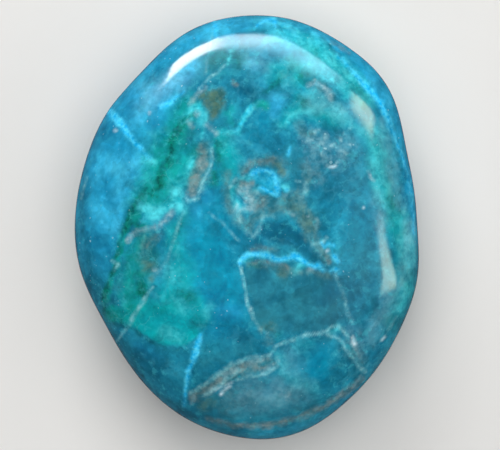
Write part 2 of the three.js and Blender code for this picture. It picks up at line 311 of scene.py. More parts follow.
MINERALS["silt"] = Mineral(paint(44, 108, 122), paint(92, 144, 148), MIDDLING, 0.5, 5.0, 0.25, [
    (0.8, 0.7, [(-3.1, 8, 0.4), (-3.2, 5.6, 0.5), (-2.6, 3.2, 0.6), (-1.2, 1.2, 0.8), (0.4, 0.2, 0.8),
     (1.6, 1.8, 0.8), (3.6, 3, 1.1), (6.2, 3.4, 1.3), (8.2, 2.4, 1.2)]),
    (0.85, 0.7, [(8.2, 2.4, 1.5), (9.4, 0.6, 1.5), (9.4, -1, 1.1), (10.6, -2.8, 0.9), (12, -4.4, 0.8)]),
    (0.7, 0.7, [(-0.8, 8.8, 0.5), (1, 9.9, 0.6), (3.2, 10.4, 0.7), (5, 9.8, 0.9), (5.6, 8.2, 0.8)],
     [(-1.6, 6.6, 0.7), (0.2, 6.4, 0.8), (0.8, 4.4, 1), (2.8, 3.9, 0.8)]),
    (0.75, 0.8, [(8.8, 8.8, 0.5), (9, 6.4, 0.7), (7.8, 4.6, 0.9), (5.6, 4.4, 0.8)]),
    (0.6, 0.6, [(0.8, -3.3, 0.3), (4.2, -3.3, 0.3)]),
    (0.7, 0.6, [(0.4, -5.5, 0.3), (3.4, -5.7, 0.4), (6.2, -6.6, 0.7), (9.6, -6.9, 0.5),
     (12.6, -7.2, 0.4)]),
    (0.4, 1, [(-15.2, -1.4, 0.8), (-15.4, -4, 1), (-14.8, -6.2, 1)]),
    (0.7, 0.8, [(-7.2, 6, 1), (-6.6, 9.4, 1), (-6.4, 12.2, 0.6)]),
    (0.8, 0.5, [(-8.2, -25.6, 0.5), (-5, -23.6, 0.8), (-1.8, -21.6, 1.1), (1.6, -20.8, 1),
     (3.6, -20.2, 0.6)]),
    (0.6, 0.7, [(3.2, -17.2, 0.5), (3.6, -15.4, 0.6), (2.4, -15.4, 0.5)]),
    (0.5, 0.8, [(10.6, 21.2, 0.7), (12.6, 20, 0.6)]),
    (0.6, 0.8, [(7.8, 15.6, 0.6), (8.6, 14.2, 0.7), (9.6, 14.4, 0.7)]),
    (0.5, 1, [(15, -18, 0.9), (17.2, -20.4, 0.8)]),
    (0.3, 1.4, [(-3.2, -24.6, 1), (-3, -27, 1.2)]),
])
MINERALS["olive"] = Mineral(paint(48, 100, 98), paint(84, 120, 104), MIDDLING, 0.4, 4.0, 0.15, [
    (1, 0.6, [(-6.9, 19.9, 0.5), (-4.2, 20.2, 0.9), (-5, 19, 1.6), (-5, 17.6, 1), (-5.2, 16.6, 0.4)]),
    (0.6, 0.8, [(-14.6, -5.8, 0.9)], [(2.8, -15.1, 0.6), (3.8, -14.8, 0.5)]),
    (0.9, 0.5, [(-14.3, -7.7, 0.5)]),
    (0.5, 0.8, [(6.4, 3.2, 0.7), (8.8, 2, 0.6), (9.4, 0, 0.7)], [(5.6, -6.6, 0.8)]),
    (0.6, 1, [(-6.6, -27, 0.8), (-5.4, -26.2, 0.6)]),
    (0.6, 0.7, [(4.6, 9.6, 0.5), (5.3, 8.4, 0.5)]),
])
MINERALS["tan"] = Mineral(paint(80, 118, 124), paint(128, 146, 146), MIDDLING, 0.35, 4.5, 0.3, [
    (0.8, 0.5, [(-6.9, 12, 0.35), (-6.6, 10.8, 0.6), (-6.6, 9.6, 0.7), (-7.5, 8.2, 0.7),
     (-8.1, 6.8, 0.7), (-8.4, 5, 0.7)]),
    (0.3, 0.6, [(-14.9, -2.6, 0.5), (-13.4, -1.2, 0.5)]),
    (0.7, 0.5, [(-0.2, 8.6, 0.3), (0.4, 9.4, 0.3), (2, 9.8, 0.4), (3.8, 10.2, 0.4)],
     [(-8.2, -25.8, 0.6), (-5.4, -24.2, 0.7), (-2.6, -21.9, 0.7), (0.4, -20.6, 0.5),
     (3.2, -19.6, 0.3)]),
    (0.8, 0.6, [(0.6, 2.9, 0.5), (2.4, 3.7, 0.7)]),
    (0.9, 0.3, [(-2.1, 22.1, 0.2), (-1.6, 21.4, 0.25)]),
    (0.8, 0.35, [(-0.8, 6.5, 0.35), (0.7, 6.6, 0.35)]),
    (0.6, 0.4, [(1, -5.2, 0.15), (3, -5.2, 0.2), (5.2, -5.7, 0.25), (6.2, -6.2, 0.3)],
     [(12.8, 28, 0.15), (15.4, 26.4, 0.2)]),
    (0.5, 0.4, [(0.8, -3.2, 0.2), (3.6, -3.1, 0.2)]),
    (0.7, 0.6, [(12.2, -5.1, 0.5)]),
    (0.8, 0.4, [(1.3, -21.1, 0.35), (2.6, -21.3, 0.4)]),
    (0.85, 0.45, [(-6, -28.9, 0.2), (-2, -29.9, 0.35), (3, -29.9, 0.4), (8, -28.6, 0.4),
     (12, -26.8, 0.4), (15.2, -24.7, 0.4), (17.4, -22.6, 0.35)]),
])
MINERALS["blush"] = Mineral(paint(104, 158, 172), paint(156, 190, 198), FINE, 0.3, 4.5, 0.4, [
    (0.8, 0.4, [(-8.9, 15.9, 0.25), (-8.3, 15.3, 0.4)]),
    (0.7, 0.4, [(-7.4, 17.1, 0.45)], [(-6.2, 15.6, 0.25), (-5.2, 14.8, 0.25), (-4.6, 14.1, 0.35)],
     [(-8.4, -26.5, 0.25), (-8, -25.6, 0.2)], [(-5, -24.4, 0.35)], [(9.2, 21.4, 0.25), (10.4, 22, 0.3),
     (11.6, 21.4, 0.3), (12.5, 20.2, 0.35), (12.7, 19.3, 0.25)]),
    (0.6, 0.4, [(-8.2, 19.3, 0.3), (-7.8, 19.9, 0.2)], [(-13.8, -6.4, 0.35)]),
    (0.6, 0.5, [(-11.3, 2.4, 0.35), (-12, 1.4, 0.35), (-13, 0.4, 0.3), (-14.4, -0.2, 0.25)]),
    (0.5, 0.4, [(-14.4, -0.2, 0.25), (-15.6, -0.4, 0.2), (-17, -0.8, 0.35)], [(-8.6, 18.6, 0.2),
     (-7.6, 20, 0.25), (-6.2, 21, 0.2)]),
    (0.9, 0.35, [(-17.4, -1.2, 0.3), (-17.9, -1.9, 0.35)]),
    (0.9, 0.45, [(0.1, 5.8, 0.4), (-0.1, 4.9, 0.5), (0.3, 4.2, 0.5)]),
    (0.8, 0.3, [(-1.1, 1.8, 0.25)]),
    (0.7, 0.35, [(9.4, -6.3, 0.3), (10.2, -6.2, 0.3)]),
    (0.7, 0.5, [(16.3, -18.4, 0.35), (17, -19.3, 0.25)]),
    (0.4, 0.6, [(6.2, -25.6, 0.5)]),
])
MINERALS["fleck"] = Mineral(paint(96, 160, 176), paint(140, 190, 200), FINE, 0.4, 4.0, 0.3, [
    (0.7, 0.25, [(9, 12.8, 0.2), (9.8, 13.2, 0.25)], [(14.4, 11.6, 0.25), (14.9, 11.2, 0.2)]),
    (0.7, 0.3, [(10.6, 12.2, 0.3), (11.4, 12.6, 0.2)], [(11.4, 11, 0.3), (12, 10.6, 0.2)]),
    (0.8, 0.25, [(12, 13.6, 0.3)], [(12.7, 12.2, 0.25), (13.2, 12.6, 0.2)]),
    (0.6, 0.3, [(14.2, 13.2, 0.25)], [(10, 10.8, 0.3)], [(9, 9.2, 0.25), (9.8, 8.8, 0.2)],
     [(13.8, 9.8, 0.25)], [(12.2, 9.4, 0.2)], [(-2.6, 6.2, 0.25), (-1.8, 7.4, 0.3)],
     [(-3.4, -22.6, 0.3), (-2.6, -21.8, 0.3), (-1.2, -21.4, 0.3)], [(0.4, -20.2, 0.3),
     (2.2, -20, 0.25)]),
    (0.6, 0.25, [(15.6, 12.6, 0.2)], [(11, 14.6, 0.2), (10.2, 14.4, 0.2)], [(5.8, 4.6, 0.25)]),
    (0.5, 0.3, [(6, 2.4, 0.3), (7.2, 1.8, 0.25)], [(10.4, 1.2, 0.25), (10.4, 0, 0.2)], [(8.6, 5.4, 0.3),
     (8.8, 6.6, 0.2)], [(-0.6, 8, 0.25)], [(3.8, -20.6, 0.3), (2.4, -21.8, 0.25)]),
    (0.8, 0.5, [(-0.9, 5.6, 0.6), (0.3, 4.9, 0.7), (1.2, 5.2, 0.4), (0.2, 3.8, 0.4)]),
    (0.7, 0.4, [(-1.8, 2.6, 0.3), (0.4, 2.8, 0.4), (1.6, 3.8, 0.4)]),
])
MINERALS["rind"] = Mineral(paint(84, 176, 194), paint(146, 214, 222), FINE, 0.22, 4.0, 0.45, [
    (0.8, 0.25, [(-5.4, 11.8, 0.2), (-5.3, 10.2, 0.25), (-5.5, 9.2, 0.2), (-6.4, 7.4, 0.2),
     (-7.1, 5.4, 0.2), (-7.4, 4.3, 0.25), (-9, 3.9, 0.2), (-9.3, 4.8, 0.15)], [(8.8, -16.2, 0.25),
     (10.4, -16, 0.2), (12, -15.8, 0.2), (12.6, -15, 0.2), (13.8, -14.9, 0.2)], [(12, -16, 0.2),
     (13.4, -16.4, 0.2), (14.4, -17.3, 0.2), (15, -18.5, 0.2), (16.1, -19.7, 0.15), (16.9, -21, 0.2),
     (17.9, -21.7, 0.25)]),
    (0.4, 0.3, [(-13.6, -7.2, 0.12), (-12.2, -5.2, 0.15), (-11.4, -3, 0.15), (-10.8, -1.2, 0.2),
     (-10.2, 0.5, 0.15), (-9.6, 2.4, 0.15)], [(-5.7, 2.2, 0.1), (-4, 0.9, 0.12), (-2.6, -0.4, 0.15),
     (-1.2, -2, 0.1)], [(7.4, 6.9, 0.15), (8.8, 6.8, 0.15), (9.2, 5.6, 0.15), (8.2, 4.5, 0.15)]),
    (0.7, 0.25, [(-14.2, -9, 0.12), (-14.9, -10, 0.15), (-15.8, -11.4, 0.35), (-16.4, -12.4, 0.2)],
     [(3.6, -19.2, 0.2), (4.2, -18, 0.2), (5.4, -17.4, 0.2), (7.6, -16.8, 0.2), (8.8, -16.2, 0.25)],
     [(13.8, -14.9, 0.2), (14.8, -15.6, 0.25), (15.3, -16.8, 0.2)]),
    (0.7, 0.3, [(-16.4, -12.4, 0.15), (-17.1, -13.5, 0.3), (-17.8, -14.8, 0.15), (-19.6, -17.2, 0.1)],
     [(-20.2, -5, 0.15), (-19.5, -5.6, 0.3), (-20, -6.4, 0.15)]),
    (0.95, 0.22, [(-1, -5.2, 0.25), (-0.8, -6.6, 0.2), (-0.4, -8.2, 0.18), (-0.1, -10.2, 0.18),
     (0.2, -11.6, 0.25), (0.5, -12.4, 0.3), (1.1, -13.8, 0.2)]),
    (0.6, 0.25, [(1.1, -13.8, 0.2), (2, -15.2, 0.15), (3.2, -16.1, 0.1)]),
    (0.5, 0.3, [(13.3, -7, 0.2), (14.2, -9.4, 0.12), (14.8, -11, 0.2), (15.2, -13, 0.22),
     (15.9, -14.3, 0.2)], [(-25, 4.4, 0.12), (-24.6, 6, 0.15), (-24.2, 7.6, 0.12)],
     [(22.6, -13.4, 0.12), (21.4, -15.4, 0.15), (20.2, -17.2, 0.15)]),
    (0.6, 0.3, [(4.6, -19.6, 0.25), (4.6, -20.8, 0.3), (2.8, -22.2, 0.3), (0.4, -22.4, 0.25),
     (-1.6, -23, 0.2)], [(-8.4, -25, 0.25), (-6.2, -23.6, 0.3), (-4.4, -22.2, 0.3), (-2.4, -20.9, 0.25),
     (0, -19.8, 0.25), (2, -19.3, 0.2), (3.4, -19.4, 0.2)], [(-6.6, -25.4, 0.2), (-4.6, -24.2, 0.3),
     (-3, -22.8, 0.25), (-1, -21.6, 0.2)], [(9.8, -2.6, 0.25), (11.2, -2.3, 0.3), (12, -1.6, 0.25)]),
    (0.4, 0.4, [(-1.6, 2.2, 0.2), (-0.8, 0.6, 0.25), (0, -0.6, 0.25), (0.8, -1.2, 0.25),
     (1.6, -0.8, 0.25), (2.2, 0.4, 0.2), (2.5, 1.8, 0.2)]),
    (0.25, 0.4, [(2.5, 1.8, 0.2), (4.6, 1.6, 0.2)]),
    (0.55, 0.3, [(-7.2, 20.9, 0.12), (-5.6, 22.6, 0.15), (-4.4, 23.4, 0.15), (-3.2, 24.6, 0.12)]),
    (0.3, 0.25, [(-6.2, 23, 0.1), (-5.9, 25.6, 0.12), (-5.2, 28.4, 0.12), (-4.9, 30.6, 0.15)]),
    (0.3, 0.4, [(15.9, 16.6, 0.12), (15.8, 15.2, 0.15), (14.6, 14, 0.1)]),
])
MINERALS["cyan"] = Mineral(paint(14, 176, 236), paint(84, 216, 252), FINE, 0.22, 2.5, 0.12, [
    (1, 0.35, [(-20.9, 17.7, 0.5), (-19.8, 16.5, 0.55), (-18.8, 15.4, 0.6), (-17.9, 14, 0.4)],
     [(0.7, 7.9, 0.3), (1.6, 8.5, 0.35), (3, 8.6, 0.35), (4, 8, 0.35), (4.5, 6.9, 0.35),
     (4.6, 5.8, 0.45), (4.4, 5, 0.4), (3.2, 5.4, 0.3), (2, 5.9, 0.3)], [(-1, -5.4, 0.25),
     (-0.8, -4.8, 0.35), (0, -4.2, 0.4), (1.2, -4, 0.35), (2.6, -4.1, 0.4), (3.8, -4.5, 0.45),
     (5, -4.9, 0.4), (6.2, -4.6, 0.4), (7.2, -4.2, 0.5), (8.2, -4.8, 0.4), (9.2, -5.5, 0.35),
     (10.4, -6, 0.3)], [(-7, -16.2, 0.2), (-7.4, -17.6, 0.45), (-7.6, -18.8, 0.55), (-8.3, -20.4, 0.35),
     (-8.9, -21.8, 0.35), (-9.1, -23.4, 0.25), (-9.4, -25.4, 0.2)]),
    (0.9, 0.35, [(-17.9, 14, 0.4), (-16.9, 12.7, 0.35), (-15.9, 11.8, 0.3)], [(1.5, 30.4, 0.15),
     (2.4, 31, 0.2), (4.2, 31.5, 0.3), (4.3, 30.2, 0.2)]),
    (0.5, 0.4, [(-15.9, 11.8, 0.3), (-14.8, 10.6, 0.35)]),
    (0.9, 0.45, [(-13, 18.3, 0.4), (-11.6, 18.8, 0.45), (-10.4, 19.8, 0.2), (-9.6, 20.6, 0.1)]),
    (0.8, 0.4, [(-5, 31.2, 0.3), (-4.7, 30, 0.25), (-4.5, 28.6, 0.2)], [(10.8, -5.7, 0.4),
     (11.6, -6.5, 0.3)], [(13.4, -6.3, 0.3), (12.6, -6.6, 0.2)]),
    (0.6, 0.4, [(13.2, 27, 0.3), (14.6, 25, 0.35), (16.2, 23.2, 0.35)], [(24.4, 8, 0.2), (25, 4, 0.2),
     (25.1, -1, 0.15)], [(-9.4, -25.4, 0.2), (-9.5, -26.9, 0.2)]),
    (1, 0.4, [(16.2, 23.2, 0.35), (17.4, 21.7, 0.4), (18.9, 20.2, 0.45), (20.2, 18.4, 0.5),
     (21, 16.8, 0.45)]),
    (0.9, 0.4, [(21, 16.8, 0.45), (21.6, 14.8, 0.3), (22.4, 12.8, 0.3), (23.4, 10.6, 0.25),
     (24.4, 8, 0.2)], [(13.2, -4.4, 0.45), (13.8, -5.1, 0.4)]),
    (0.3, 0.5, [(-1.6, 14.2, 0.2), (-0.9, 15.6, 0.3), (-0.2, 17, 0.3), (0.9, 18.2, 0.3),
     (2, 19.2, 0.2)]),
    (0.25, 0.6, [(1.6, 7.6, 0.7), (2.8, 7.4, 0.9), (3.4, 6.2, 0.7)]),
    (0.4, 0.3, [(5.4, 6.1, 0.35), (5.9, 5.5, 0.35)]),
    (0.7, 0.3, [(11.1, -2.2, 0.2), (11.7, -2.9, 0.2), (12.4, -2.5, 0.25), (13.2, -2.7, 0.2)]),
    (0.7, 0.35, [(6.5, 12, 0.15), (6.3, 11, 0.2)]),
])
MINERALS["shade"] = Mineral(paint(4, 78, 98), paint(14, 104, 122), MIDDLING, 0.3, 4.0, 0.35, [
    (0.9, 0.35, [(-18.4, -15, 0.2), (-17.2, -15.3, 0.3), (-15.9, -16.3, 0.2), (-14.2, -17.3, 0.25)]),
    (0.6, 0.4, [(-21.4, -14.2, 0.15), (-19.8, -14.8, 0.2), (-18.4, -15, 0.2)]),
    (0.7, 0.35, [(-8.4, -14.2, 0.15), (-7, -14.8, 0.2)]),
    (0.7, 0.4, [(11.2, 28.6, 0.15), (12.8, 27, 0.2), (14.2, 25.8, 0.15)]),
    (0.6, 0.5, [(21.4, 15.4, 0.2), (22, 13, 0.25), (23.2, 9.6, 0.2)], [(2.5, 29.3, 0.35),
     (1.4, 29.6, 0.2)], [(14, -7.8, 0.3), (14.4, -9.2, 0.2)]),
    (0.5, 0.5, [(8.6, -17.1, 0.15), (12.2, -16.7, 0.2), (13.8, -17.4, 0.2), (14.8, -18.8, 0.15)],
     [(-11, -8.5, 0.3)]),
    (0.4, 0.5, [(9, -22.3, 0.25)]),
])
# Painted highlights, not a mineral: small white specks that stand in for glints of reflected light at
# pits and chipped edges of the polish.
MINERALS["painted_glint"] = Mineral(paint(170, 218, 232), paint(220, 242, 250), FINE, 0.2, 4.0, 0.2, [
    (0.7, 0.3, [(-19.85, 14.7, 0.25)]),
    (0.8, 0.25, [(-14.7, 17.25, 0.18)], [(12.5, 9.1, 0.15), (13.3, 9.2, 0.22)], [(12.1, -3.5, 0.2)]),
    (0.9, 0.3, [(-3.9, -25.1, 0.25), (-3.6, -24.7, 0.2)], [(-3.2, -24.3, 0.25), (-2.6, -24, 0.15)]),
    (0.6, 0.3, [(-2.2, -23.4, 0.12), (-4.6, -24.4, 0.12)]),
    (0.8, 0.35, [(16, -16.8, 0.3), (16.1, -17.6, 0.35)]),
    (0.7, 0.25, [(17.6, 3, 0.15)], [(20.5, -17, 0.12), (20.8, -16.6, 0.15)]),
    (0.5, 0.25, [(18.3, 8.4, 0.12), (18.6, 7.5, 0.15), (19.2, 7, 0.15)], [(0.5, -12.4, 0.15)]),
    (0.6, 0.2, [(9.2, 1.7, 0.12)]),
    (0.5, 0.3, [(-1.5, 3.2, 0.2)]),
])


# ---------------------------------------------------------------------------
# Node building
# ---------------------------------------------------------------------------
def feed(tree, socket, value):
    """Sets an input to a plain value, or links it to another node's output."""
    if isinstance(value, bpy.types.NodeSocket):
        tree.links.new(value, socket)
    else:
        socket.default_value = value


def add_node(tree, kind, inputs=(), **settings):
    """A new node with these settings, and with its inputs fed by name or by number."""
    node = tree.nodes.new(kind)
    for name, value in settings.items():
        setattr(node, name, value)
    for key, value in dict(inputs).items():
        feed(tree, node.inputs[key], value)
    return node


def math_of(tree, operation, *values, clamp=False):
    settings = {"operation": operation, "use_clamp": clamp}
    return add_node(tree, "ShaderNodeMath", enumerate(values), **settings).outputs[0]


def times(tree, one, other):
    return math_of(tree, "MULTIPLY", one, other)


def minus(tree, one, other):
    return math_of(tree, "SUBTRACT", one, other)


def vector_of(tree, operation, *values):
    node = add_node(tree, "ShaderNodeVectorMath", enumerate(values), operation=operation)
    return node.outputs["Value" if operation == "LENGTH" else "Vector"]


def scaled(tree, vector, factor):
    inputs = {"Vector": vector, "Scale": factor}
    return add_node(tree, "ShaderNodeVectorMath", inputs, operation="SCALE").outputs["Vector"]


def combined(tree, *parts):
    return add_node(tree, "ShaderNodeCombineXYZ", enumerate(parts)).outputs[0]


def mapped(tree, value, low, high, to_low=0.0, to_high=1.0):
    """Takes low to high smoothly onto to_low to to_high, and holds it there outside them."""
    inputs = {
        "Value": value, "From Min": low, "From Max": high, "To Min": to_low, "To Max": to_high,
    }
    node = add_node(tree, "ShaderNodeMapRange", inputs, interpolation_type="SMOOTHSTEP")
    return node.outputs["Result"]


def noise_of(tree, place, size, detail=2.0, roughness=0.55, seed=0.0, swirl=0.0):
    """Cloudy noise from 0 to 1 whose clouds are about this size, in metres."""
    inputs = {
        "Vector": place, "W": seed, "Scale": 1 / size,
        "Detail": detail, "Roughness": roughness, "Distortion": swirl,
    }
    return add_node(tree, "ShaderNodeTexNoise", inputs, noise_dimensions="4D").outputs[0]


def jolted(tree, place, size, reach, detail=2.0):
    """The place, moved about by noise, so that cells drawn by it have uneven outlines."""
    inputs = {"Vector": place, "Scale": 1 / size, "Detail": detail}
    jolt = add_node(tree, "ShaderNodeTexNoise", inputs, noise_dimensions="3D")
    return vector_of(tree, "ADD", place, scaled(tree, jolt.outputs["Color"], reach))


def cells_of(tree, place, size, feature="F1"):
    """The outputs of a pattern of cells of about this size, in metres."""
    inputs = {"Vector": place, "Scale": 1 / size}
    return add_node(tree, "ShaderNodeTexVoronoi", inputs, feature=feature).outputs


def blended(tree, share, under, over):
    inputs = {0: share, 6: under, 7: over}
    return add_node(tree, "ShaderNodeMix", inputs, data_type="RGBA").outputs[2]


# ---------------------------------------------------------------------------
# Objects and geometry trees
# ---------------------------------------------------------------------------
def add_object(name, data):
    added = bpy.data.objects.new(name, data)
    bpy.context.scene.collection.objects.link(added)
    return added


def new_geometry_tree(name, sizes):
    """A tree with its geometry sockets, a named input for each size, and a material input."""
    tree = bpy.data.node_groups.new(name, "GeometryNodeTree")

    def add_socket(label, kind, way="INPUT"):
        return tree.interface.new_socket(label, in_out=way, socket_type="NodeSocket" + kind)

    add_socket("Stone", "Geometry")
    for size_name, value in sizes.items():
        add_socket(size_name, "Float").default_value = value
    add_socket("Material", "Material")
    add_socket("Stone", "Geometry", "OUTPUT")
    return tree, add_node(tree, "NodeGroupInput"), add_node(tree, "NodeGroupOutput")


def finish_tree(tree, start, end, way, vector):
    """Moves the points to a Position or by an Offset, and smooths and dresses the faces."""
    steps = ("SetPosition", "SetShadeSmooth", "RealizeInstances", "SetMaterial")
    nodes = [add_node(tree, "GeometryNode" + step) for step in steps]
    feed(tree, nodes[0].inputs[way], vector)
    feed(tree, nodes[-1].inputs["Material"], start.outputs["Material"])
    geometry = start.outputs["Stone"]
    for node in nodes:
        feed(tree, node.inputs["Geometry"], geometry)
        geometry = node.outputs["Geometry"]
    feed(tree, end.inputs["Stone"], geometry)


def stored(tree, name):
    """What the mesh stores under this name at each point."""
    inputs = {"Name": name}
    node = add_node(tree, "GeometryNodeInputNamedAttribute", inputs, data_type="FLOAT")
    return node.outputs["Attribute"]


def run_tree(mesh, tree, sizes, material):
    """Puts a mesh through a tree, and returns the plain mesh that comes out."""
    holder = add_object("holder", mesh)
    modifier = holder.modifiers.new("shape", "NODES")
    modifier.node_group = tree
    wanted = {**sizes, "Material": material}
    for item in tree.interface.items_tree:
        if item.in_out == "INPUT" and item.name in wanted:
            modifier[item.identifier] = wanted[item.name]
    depsgraph = bpy.context.evaluated_depsgraph_get()
    made = bpy.data.meshes.new_from_object(
        holder.evaluated_get(depsgraph), preserve_all_data_layers=True, depsgraph=depsgraph
    )
    holder.modifiers.remove(modifier)
    bpy.data.objects.remove(holder)
    return made


# ---------------------------------------------------------------------------
# The stone's shape
# ---------------------------------------------------------------------------
SWELL_WIDTH = 9 * MM
RIPPLE_WIDTH = 2.5 * MM


def read_girdle():
    """The radius and height of the CAD stone's widest level at each of its spokes."""
    corners = np.array([v.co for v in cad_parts["stone"].data.vertices])
    axis = corners[corners[:, 2].argmax(), :2]
    across = corners[:, :2] - axis
    distance = np.hypot(*across.T)
    turn = np.arctan2(across[:, 1], across[:, 0])
    spoke = np.rint(turn / (2 * math.pi / SPOKES)).astype(int) % SPOKES
    widest = [max(np.flatnonzero(spoke == s), key=lambda i: distance[i]) for s in range(SPOKES)]
    return distance[widest], corners[widest, 2] - STONE_LOW.z


def round_curve(values, angle):
    """A smooth closed curve through evenly spaced values, as a sum of waves."""
    waves = np.fft.rfft(values) / len(values)
    total = np.full(angle.shape, waves[0].real)
    for order in range(1, OUTLINE_HARMONICS + 1):
        total += 2 * (waves[order] * np.exp(1j * order * angle)).real
    return total


def spread_evenly(shares, levels, rings):
    """Points at even steps of length along a profile given from its middle to its girdle."""
    steps = np.hypot(np.diff(shares) * OVAL_HALF_WIDTH, np.diff(levels) * STONE_HEIGHT / 2)
    length = np.concatenate([[0], np.cumsum(steps)])
    places = np.linspace(0, length[-1], rings + 1)
    return np.interp(places, length, shares), np.interp(places, length, levels)


def crown_profile():
    turn = np.linspace(math.pi / 2, 0, PROFILE_SAMPLES)
    shares = np.cos(turn).clip(0) ** (2 / DOME_FULLNESS)
    return spread_evenly(shares, np.sin(turn), DOME_RINGS)


def belly_profile():
    turn = np.linspace(0, math.pi / 2, PROFILE_SAMPLES)
    shares = FOOT_SHARE + (1 - FOOT_SHARE) * np.sin(turn) ** (2 / BELLY_FULLNESS)
    shares = np.concatenate([[0], shares])
    return spread_evenly(shares, np.concatenate([[-1], -np.cos(turn)]), BELLY_RINGS)


def square_to_round(rings):
    """The ring and the angle of each point of a square grid that is pulled out to a circle."""
    steps = np.arange(-rings, rings + 1)
    u, v = (grid.ravel() for grid in np.meshgrid(steps, steps, indexing="ij"))
    ring = np.maximum(abs(u), abs(v))
    sideways = abs(u) >= abs(v)
    safe_u, safe_v = np.where(u == 0, 1, u), np.where(v == 0, 1, v)
    angle = np.where(
        sideways,
        math.pi / 4 * v / safe_u + math.pi * (u < 0),
        math.pi / 2 - math.pi / 4 * u / safe_v + math.pi * (v < 0),
    )
    return ring, angle


def half_skin(rings, profile):
    """The points of a dome or a bowl on a round grid, and which of them lie at the girdle."""
    ring, angle = square_to_round(rings)
    shares, levels = profile
    share = shares[ring]
    return np.stack([share * np.cos(angle), share * np.sin(angle), levels[ring]], 1), ring == rings


def crown_faces():
    side = 2 * DOME_RINGS + 1
    corner = np.arange(side * side).reshape(side, side)
    faces = [corner[:-1, :-1], corner[1:, :-1], corner[1:, 1:], corner[:-1, 1:]]
    return np.stack([f.ravel() for f in faces], axis=1).tolist()


def belly_faces(at_girdle):
    """The belly's faces. At the girdle they share the crown's points, which are twice as close."""
    crown_side = 2 * DOME_RINGS + 1
    last = 2 * BELLY_RINGS
    own = crown_side * crown_side + np.cumsum(~at_girdle) - 1
    own = own.reshape(last + 1, last + 1)

    def at_edge(*steps):
        return any(step in (0, last) for step in steps)

    def number(i, j):
        return 2 * i * crown_side + 2 * j if at_edge(i, j) else int(own[i, j])

    faces = []
    for i in range(last):
        for j in range(last):
            corners = [(i, j), (i, j + 1), (i + 1, j + 1), (i + 1, j)]
            face = []
            for here, following in zip(corners, corners[1:] + corners[:1]):
                face.append(number(*here))
                shared = [a for a, b in zip(here, following) if a == b]
                if at_edge(*shared):
                    face.append((here[0] + following[0]) * crown_side + here[1] + following[1])
            faces.append(face)
    return faces


def turned_blank():
    """The stone as a turned body one unit across: a crown and a belly that meet at the girdle."""
    crown, _ = half_skin(DOME_RINGS, crown_profile())
    belly, at_girdle = half_skin(BELLY_RINGS, belly_profile())
    points = np.concatenate([crown, belly[~at_girdle]])
    mesh = bpy.data.meshes.new("turned_blank")
    mesh.from_pydata(points.tolist(), [], crown_faces() + belly_faces(at_girdle))
    radii, heights = read_girdle()
    turn = np.arctan2(points[:, 1], points[:, 0])
    store(mesh, "girdle_radius", round_curve(radii, turn))
    store(mesh, "girdle_height", round_curve(heights, turn))
    return mesh


def draw_out_tree(sizes):
    """Draws the turned body out to its uneven oval, and its levels to their heights."""
    tree, start, end = new_geometry_tree("draw_out", sizes)
    position = add_node(tree, "GeometryNodeInputPosition").outputs[0]
    x, y, level = add_node(tree, "ShaderNodeSeparateXYZ", {0: position}).outputs
    squares = [times(tree, side, side) for side in (x, y)]
    share_squared = math_of(tree, "ADD", *squares, clamp=True)
    share = math_of(tree, "SQRT", share_squared)
    stretched_x = math_of(tree, "DIVIDE", x, start.outputs["Half Width"])
    stretched_y = math_of(tree, "DIVIDE", y, start.outputs["Half Length"])
    stretched = vector_of(tree, "LENGTH", combined(tree, stretched_x, stretched_y))
    oval = math_of(tree, "DIVIDE", share, stretched)
    unevenness = minus(tree, stored(tree, "girdle_radius"), oval)
    radius = math_of(tree, "MULTIPLY_ADD", unevenness, share_squared, oval)
    girdle = stored(tree, "girdle_height")
    above = math_of(tree, "GREATER_THAN", level, 0.0)
    crown_span = minus(tree, start.outputs["Height"], girdle)
    difference = minus(tree, crown_span, girdle)
    span = math_of(tree, "MULTIPLY_ADD", above, difference, girdle)
    height = math_of(tree, "MULTIPLY_ADD", level, span, girdle)
    drawn = combined(tree, times(tree, x, radius), times(tree, y, radius), height)
    finish_tree(tree, start, end, "Position", drawn)
    return tree


def surface_tree(sizes):
    """The polished surface: low swells, and softer minerals that the polish has sunk a little."""
    tree, start, end = new_geometry_tree("surface", sizes)
    place = add_node(tree, "GeometryNodeInputPosition").outputs[0]
    seed = start.outputs["Seed"]
    swell = noise_of(tree, place, SWELL_WIDTH, detail=1.0, seed=seed)
    ripple = noise_of(tree, place, RIPPLE_WIDTH, seed=seed)
    rise = times(tree, minus(tree, swell, 0.5), start.outputs["Swell"])
    small = times(tree, minus(tree, ripple, 0.5), start.outputs["Ripple"])
    soft = math_of(tree, "MAXIMUM", stored(tree, "tan"), stored(tree, "blush"))
    sunk = times(tree, soft, start.outputs["Soft Mineral Depth"])
    proud = times(tree, stored(tree, "cyan"), start.outputs["Vein Height"])
    height = math_of(tree, "ADD", math_of(tree, "ADD", rise, small), proud)
    normal = add_node(tree, "GeometryNodeInputNormal").outputs[0]
    moved = scaled(tree, normal, minus(tree, height, sunk))
    finish_tree(tree, start, end, "Offset", moved)
    return tree


# ---------------------------------------------------------------------------
# Markings
# ---------------------------------------------------------------------------
BROAD_STRAY = 5.0  # mm over which the markings' edges stray together
SMALL_STRAY = 1.3
BROAD_SHARE = 0.4  # of the straying; the small one has the rest
STRAY_OCTAVES = 3
STRAY_SEED = 1  # without one, the strays would differ from run to run
LEAN_TURN = math.radians(3)  # that the veins make for each mm that they go down below the girdle
LEAN_SHIFT = (0.5, -0.35)  # mm that they move for each mm
LEAST_SPAN = 1e-9  # mm squared, so that a stroke of no length can be divided by


def points_of(mesh):
    flat = np.zeros(len(mesh.vertices) * 3)
    mesh.vertices.foreach_get("co", flat)
    return flat.reshape(-1, 3)


def set_points(mesh, points):
    mesh.vertices.foreach_set("co", points.ravel())
    mesh.update()


def store(mesh, name, values):
    attribute = mesh.attributes.new(name, "FLOAT", "POINT")
    attribute.data.foreach_set("value", values.astype(np.float32))


